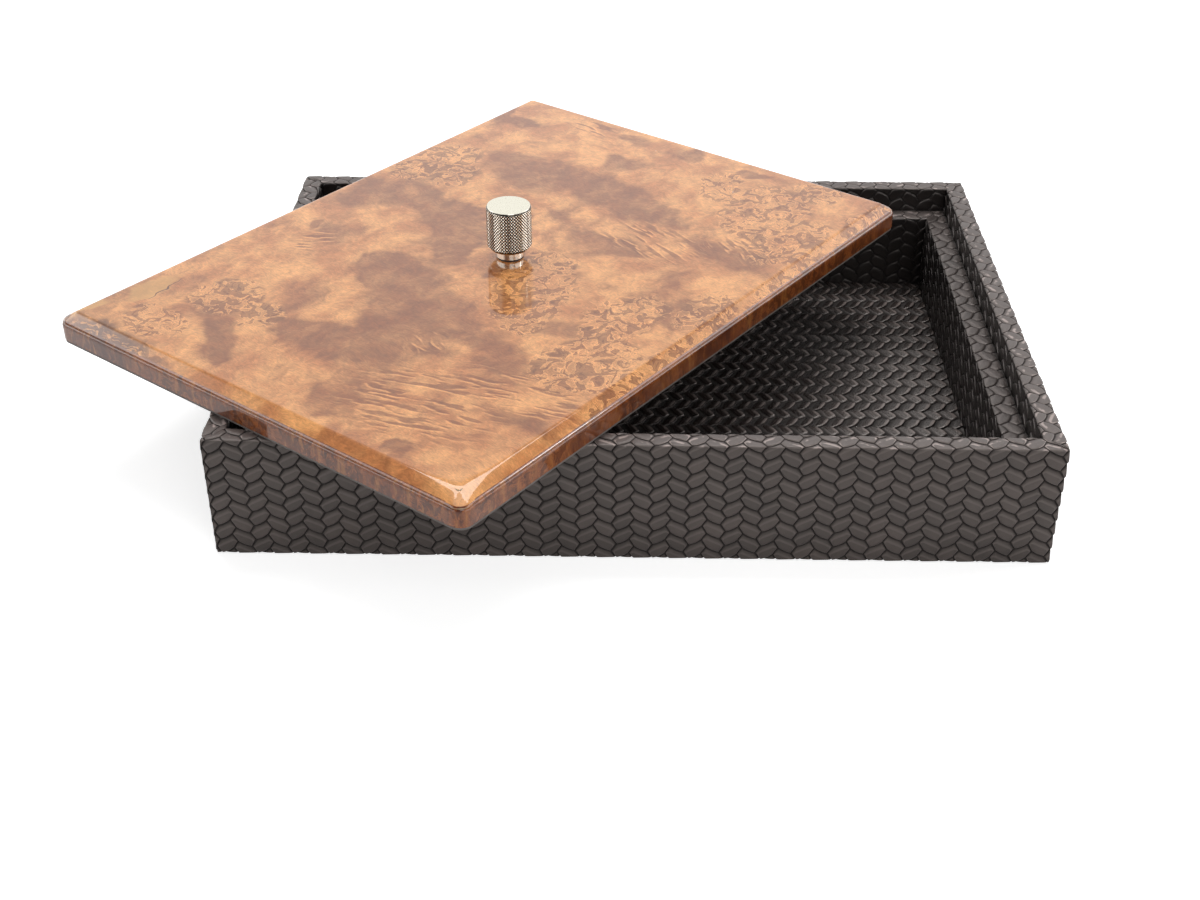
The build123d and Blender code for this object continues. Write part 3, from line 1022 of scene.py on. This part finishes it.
class BOX_OT_lid(bpy.types.Operator):
    """Shape the veneered and lacquered outside of the lid"""

    bl_idname = "box.lid"
    bl_label = "Burl lid"

    def execute(self, context):
        lid = context.scene.box_lid
        corner_steps = 8
        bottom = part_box("edge_veneer_front")[0].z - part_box("lid_lining")[0].z
        bpy.ops.object.select_all(action="DESELECT")
        bpy.ops.mesh.primitive_plane_add(size=1, location=(0, 0, 0))
        shell = context.object
        shell.name = "lacquered_burl"
        begin(shell)
        bpy.ops.mesh.select_all(action="SELECT")
        bpy.ops.mesh.delete(type="VERT")
        self.rounded_plane(lid.width, lid.depth, lid.corner, bottom, corner_steps)
        pick("FACE", lambda face: True)
        bpy.ops.mesh.extrude_region_move(TRANSFORM_OT_translate={"value": (0, 0, lid.side - bottom)})
        pick("FACE", lambda face: abs(face.normal.z) > 0.9)
        bpy.ops.mesh.delete(type="ONLY_FACE")
        top_width, top_depth = lid.width - 2 * lid.bevel, lid.depth - 2 * lid.bevel
        self.rounded_plane(top_width, top_depth, lid.top_corner, lid.thickness, corner_steps)
        pick("EDGE", lambda edge: all(corner.co.z > lid.side - SAME for corner in edge.verts))
        bpy.ops.mesh.bridge_edge_loops()
        for height, width, steps in ((lid.side, lid.arris, 7), (lid.thickness, lid.crease, 4)):
            pick("EDGE", lambda edge: at_height(edge, height))
            bpy.ops.mesh.bevel(offset=width, segments=steps, affect="EDGES", clamp_overlap=False)
        self.add_borders()
        self.cut_corner(lid)
        end()
        self.ease_corner(shell, lid)
        for finish in (burl_top_finish, burl_border_finish):
            shell.data.materials.append(finish(lid, self.middle()))
        least_slope = 0.8  # how far up the slope looks, at the least
        for face in shell.data.polygons:
            face.material_index = 0 if face.normal.z > least_slope else 1
        tidy_normals(shell)
        apply(shell, "SOLIDIFY", thickness=lid.coat, offset=-1, use_even_offset=True)
        tidy_normals(shell)
        smooth(shell, SHARP_WOOD)
        settle(shell, Matrix.Translation(self.middle()) @ Matrix.Rotation(lid.turn, 4, "Z"))
        hand_over(shell, "lid", "burl_veneer", ["veneer_top", *(f"edge_veneer_{side}" for side in SIDES)])
        return {"FINISHED"}

    def middle(self):
        """Middle of the lid's underside."""
        low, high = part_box("lid_lining")
        return Vector(((low.x + high.x) / 2, (low.y + high.y) / 2, low.z))

    def rounded_plane(self, width, depth, radius, height, segments):
        """Add a flat plate with round corners to the mesh being edited."""
        bpy.ops.mesh.primitive_plane_add(size=1, location=(0, 0, height))
        pick("VERT", lambda corner: abs(corner.co.z - height) < SAME)
        bpy.ops.transform.resize(value=(width, depth, 1), center_override=(0, 0, height))
        bpy.ops.mesh.bevel(offset=radius, segments=segments, affect="VERTICES")

    def add_borders(self):
        """Give the broad faces narrow borders, which keep them flat under smooth shading."""
        top_border, strip_border = 0.3 * MM, 0.25 * MM
        sloping, upright = (0.80, 0.90), (-1e-3, 1e-3)  # how far up the faces look
        pick("FACE", lambda face: face.normal.z > 0.999)
        bpy.ops.mesh.inset(thickness=top_border)
        for lowest, highest in (sloping, upright):
            pick("FACE", lambda face: lowest < face.normal.z < highest and self.is_strip(face))
            bpy.ops.mesh.inset(thickness=strip_border)

    def is_strip(self, face):
        """A face of the side or the slope proper, and not of a rounded edge."""
        smallest_area, lowest_strip = 2e-7, 1.2 * MM
        heights = [corner.co.z for corner in face.verts]
        return face.calc_area() > smallest_area and max(heights) - min(heights) > lowest_strip

    def top_corner_place(self, lid):
        """The corner of the flat top that is polished rounder than the others."""
        return lid.bevel - lid.width / 2, lid.bevel - lid.depth / 2

    def cut_corner(self, lid):
        """Cut lines across the top beside that corner, closer together towards it."""
        left, front = self.top_corner_place(lid)
        for offset in (-4.3, -3.4, -2.5, -1.6, 1.6, 2.5, 3.6, 5.0, 7.0, 10, 14, 19, 25, 31):
            cut((left + offset * MM, 0, 0), (1, 0, 0))
            cut((0, front + offset * MM, 0), (0, 1, 0))

    def ease_corner(self, shell, lid):
        """Polish that corner of the flat top rounder, less and less along both its edges."""
        left, front = self.top_corner_place(lid)
        slope = (lid.thickness - lid.side) / lid.bevel
        for vertex in shell.data.vertices:
            inwards, along = sorted((vertex.co.x - left, vertex.co.y - front))
            reach = lid.eased * min(1.0, max(0.0, 1 - along / lid.easing)) ** 2
            if reach > lid.crease:
                rounded = max(0.0, reach - abs(inwards)) ** 2 / reach
                already = max(0.0, lid.crease - abs(inwards)) ** 2 / lid.crease
                vertex.co.z -= slope / 4 * (rounded - already)
        tip, tip_radius = Vector((left, front, lid.thickness)), 2.6 * MM
        begin(shell)
        pick("VERT", lambda corner: (corner.co - tip).length < tip_radius)
        bpy.ops.mesh.vertices_smooth(factor=0.5, repeat=5)
        end()


class BOX_OT_knob(bpy.types.Operator):
    """Turn the knob and roll its knurl"""

    bl_idname = "box.knob"
    bl_label = "Knurled knob"

    def execute(self, context):
        look = context.scene.box_knob
        low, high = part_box("knob")
        centre = Vector(((low.x + high.x) / 2, (low.y + high.y) / 2, 0))
        radius = (high.x - low.x) / 2
        root = radius - look.knurl
        neck_top = low.z + look.neck_height
        foot = neck_top + look.lower_edge
        top = high.z - look.top_edge
        neck_edge, foot_edge, top_rim = 0.3 * MM, 0.4 * MM, 0.35 * MM
        bpy.ops.object.select_all(action="DESELECT")
        bpy.ops.mesh.primitive_cylinder_add(
            vertices=look.diamonds, radius=root, depth=top - foot, end_fill_type="NOTHING",
            location=(0, 0, (foot + top) / 2),
        )
        knob = context.object
        knob.name = "knurled_knob"
        settle(knob)
        begin(knob)
        self.roll_knurl(knob, look)
        self.grow(foot, (
            (neck_top, radius - look.lower_edge), (neck_top, look.neck + neck_edge),
            (neck_top - neck_edge, look.neck), (low.z + foot_edge, look.neck),
            (low.z, look.neck - foot_edge), (low.z, look.bore), (low.z + look.bore_depth, look.bore),
        ))
        self.grow(top, ((high.z, radius - look.top_edge), (high.z, radius - look.top_edge - top_rim)))
        end()
        tidy_normals(knob)
        smooth(knob, SHARP_METAL)
        relief = knob.data.attributes.new("relief", "FLOAT", "POINT")
        for corner, value in zip(knob.data.vertices, relief.data):
            in_groove = foot - SAME < corner.co.z < top + SAME and corner.co.xy.length < root + SAME
            value.value = 0.0 if in_groove else 1.0
        settle(knob, Matrix.Translation(centre))
        hand_over(knob, "knob", "nickel", ["knob"], knurl_finish(look.colour, high.z))
        return {"FINISHED"}

    def roll_knurl(self, knob, look):
        """Turn the squares of the plain head into diamonds, and raise a flat tip on each."""
        pick("EDGE", lambda edge: abs(edge.verts[0].co.z - edge.verts[1].co.z) > SAME)
        bpy.ops.mesh.subdivide(number_cuts=look.rows - 1)
        mesh = bmesh.from_edit_mesh(knob.data)
        squares = {self.rounded(corner) for corner in mesh.verts}
        bpy.ops.mesh.select_all(action="SELECT")
        bpy.ops.mesh.poke()
        pick("EDGE", lambda edge: not edge.is_boundary and squares.issuperset(map(self.rounded, edge.verts)))
        bpy.ops.mesh.dissolve_edges(use_verts=False)
        bpy.ops.mesh.select_mode(type="FACE")
        bpy.ops.mesh.select_all(action="SELECT")
        bpy.ops.mesh.inset(thickness=look.land, depth=look.knurl, use_individual=True)

    def rounded(self, corner):
        return tuple(round(part, 6) for part in corner.co)

    def grow(self, level, steps):
        """Draw the open edge at a level out along a profile of heights and radii, and close it."""
        pick("EDGE", lambda edge: edge.is_boundary and at_height(edge, level))
        mesh = bmesh.from_edit_mesh(bpy.context.edit_object.data)
        radius = max(corner.co.xy.length for corner in mesh.verts if corner.select)
        for height, reach in steps:
            bpy.ops.mesh.extrude_edges_move(TRANSFORM_OT_translate={"value": (0, 0, height - level)})
            share = reach / radius
            bpy.ops.transform.resize(value=(share, share, 1), center_override=(0, 0, height))
            level, radius = height, reach
        bpy.ops.mesh.edge_face_add()


class BOX_OT_board_finishes(bpy.types.Operator):
    """Finish the boards, card, felt, lining, washers and screw"""

    bl_idname = "box.board_finishes"
    bl_label = "Boards, linings and fastening"

    def execute(self, context):
        board = fibre_finish("pressed_board", (0.36, 0.25, 0.15), 0.9, 0.05)
        finishes = {
            "base_board": board,
            "lid_board": board,
            "floor_card": fibre_finish("grey_card", (0.33, 0.31, 0.27), 0.6, 0.03),
            "base_lining": fibre_finish("dark_felt", (0.035, 0.033, 0.032), 0.35, 0.12),
            "lid_lining": fibre_finish("lining_cloth", (0.16, 0.14, 0.13), 0.45, 0.08, stretch=(1, 1, 2)),
            "knob_seat_washer": fibre_finish("dark_fibre", (0.02, 0.018, 0.017), 0.4, 0.02, roughness=0.6),
            "knob_screw": metal_finish("plated_steel", (0.50, 0.50, 0.50), 0.30),
            "screw_washer": metal_finish("washer_steel", (0.45, 0.45, 0.46), 0.34),
        }
        for side in SIDES:
            finishes[f"wall_board_{side}"] = board
            finishes[f"ledge_board_{side}"] = board
        for node, finish in finishes.items():
            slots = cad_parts[node].data.materials
            slots.clear()
            slots.append(finish)
        return {"FINISHED"}


# Where each lamp stands in metres, how it is turned in degrees, and its width and height
LAMPS = {
    "overhead": ((0.05, 0.55, 1.6), (-19, 0, 0), (1.5, 0.7)),
    "side": ((1.85, 0.24, 1.14), (60, 0, 97), (0.25, 0.25)),
    "far": ((0.0, 2.3, 1.15), (62, 0, 180), (2.6, 1.5)),
    "near": ((0.5, -1.9, 1.1), (61, 0, 15), (1.2, 1.2)),
}


class BOX_OT_stage(bpy.types.Operator):
    """Set the table, the camera and the lamps"""

    bl_idname = "box.stage"
    bl_label = "Stage"

    def execute(self, context):
        look = context.scene.box_stage
        context.scene.view_settings.view_transform = "Standard"
        self.table()
        self.surroundings(context)
        self.camera(context, look)
        for name, (place, turn, size) in LAMPS.items():
            self.lamp(name, place, turn, size, getattr(look, name))
        return {"FINISHED"}

    def lamp(self, name, place, turn, size, power):
        data = bpy.data.lights.new(name, "AREA")
        data.shape = "RECTANGLE"
        data.size, data.size_y = size
        data.energy = power
        lamp = bpy.data.objects.new(name, data)
        lamp.location = place
        lamp.rotation_euler = [math.radians(part) for part in turn]
        lamp.visible_camera = False
        bpy.context.collection.objects.link(lamp)

    def table(self):
        """A white table that the camera sees as white, and gloss sees as pale."""
        seen, mirrored = 0.68, 0.30
        bpy.ops.object.select_all(action="DESELECT")
        bpy.ops.mesh.primitive_circle_add(vertices=96, radius=6.0, fill_type="NGON", location=(0, 0, 0))
        table = bpy.context.object
        table.name = "table"
        material, place = new_finish("white_table")
        sight = add(material.node_tree, "ShaderNodeLightPath")
        table.data.materials.append(dress(material, {
            "Base Color": place.noise(0.02).mix(rgba((0.80, 0.80, 0.80)), rgba((0.84, 0.84, 0.84))),
            "Roughness": 0.9,
            "Specular IOR Level": 0.1,
            "Emission Color": (1, 1, 1, 1),
            "Emission Strength": sight("Is Camera Ray") * seen + sight("Is Glossy Ray") * mirrored,
        }))

    def surroundings(self, context):
        """White all round for the camera. For gloss, a pale back, bright sides and a bright cap overhead.

        The sides are dim at the height that a level lid mirrors when it is seen from low down.
        """
        fill, dim = 0.34, 0.28
        back_strength, side_strength, cap_strength = 0.85, 4.0, 1.7
        world = bpy.data.worlds.new("studio")
        context.scene.world = world
        world.use_nodes = True
        sight = add(world.node_tree, "ShaderNodeLightPath")
        heading = add(world.node_tree, "ShaderNodeTexCoord")("Generated")
        part = add(world.node_tree, "ShaderNodeSeparateXYZ", {0: heading})
        band = part("Z").spread(0.58, 0.74, 1.0, 0.0)
        back = part("Y").spread(-0.1, 0.45)
        aside = part("X").math("ABSOLUTE").spread(0.5, 0.75) * part("Z").away(0.26).spread(0.08, 0.19)
        bright = (back * back_strength).most(aside * side_strength)
        glossy = band * bright + part("Z").spread(0.84, 0.92, dim, cap_strength)
        gloss = sight("Is Glossy Ray").mix(rgba((fill, fill, fill)), glossy)
        background = world.node_tree.nodes["Background"].inputs["Color"]
        feed(background, sight("Is Camera Ray").mix(gloss, (1, 1, 1, 1)))

    def camera(self, context, look):
        level_part = math.cos(look.down)
        forward = Vector(
            (math.sin(look.aside) * level_part, math.cos(look.aside) * level_part, -math.sin(look.down))
        )
        right = Vector((math.cos(look.aside), -math.sin(look.aside), 0))
        upright = right.cross(forward)
        across = right * math.cos(look.roll) + upright * math.sin(look.roll)
        up = upright * math.cos(look.roll) - right * math.sin(look.roll)
        data = bpy.data.cameras.new("view")
        data.sensor_width = 36
        data.lens = look.lens
        data.clip_start = 0.01
        camera = bpy.data.objects.new("view", data)
        turn = Matrix((across, up, -forward)).transposed().to_4x4()
        camera.matrix_world = Matrix.Translation(look.place) @ turn
        context.collection.objects.link(camera)
        context.scene.camera = camera


class BOX_PT_panel(bpy.types.Panel):
    """Lists the steps that make the box"""

    bl_idname = "BOX_PT_panel"
    bl_label = "Stationery box"
    bl_space_type = "VIEW_3D"
    bl_region_type = "UI"
    bl_category = "Box"

    def draw(self, context):
        for operator in STEPS:
            self.layout.operator(operator.bl_idname, text=operator.bl_label)
        for name in SETTINGS:
            settings = getattr(context.scene, name)
            box = self.layout.box()
            for prop in settings.bl_rna.properties:
                if prop.identifier not in ("rna_type", "name"):
                    box.prop(settings, prop.identifier)


STEPS = (
    BOX_OT_wall_leather,
    BOX_OT_ledge_leather,
    BOX_OT_floor_leather,
    BOX_OT_lid,
    BOX_OT_knob,
    BOX_OT_board_finishes,
    BOX_OT_stage,
)


def register():
    for kind in (*SETTINGS.values(), *STEPS, BOX_PT_panel):
        bpy.utils.register_class(kind)
    for name, kind in SETTINGS.items():
        setattr(bpy.types.Scene, name, PointerProperty(type=kind))


def unregister():
    for name in SETTINGS:
        delattr(bpy.types.Scene, name)
    for kind in (BOX_PT_panel, *reversed(STEPS), *SETTINGS.values()):
        bpy.utils.unregister_class(kind)


def main():
    register()
    for operator in STEPS:
        family, step = operator.bl_idname.split(".")
        getattr(getattr(bpy.ops, family), step)()


if __name__ == "__main__":
    main()
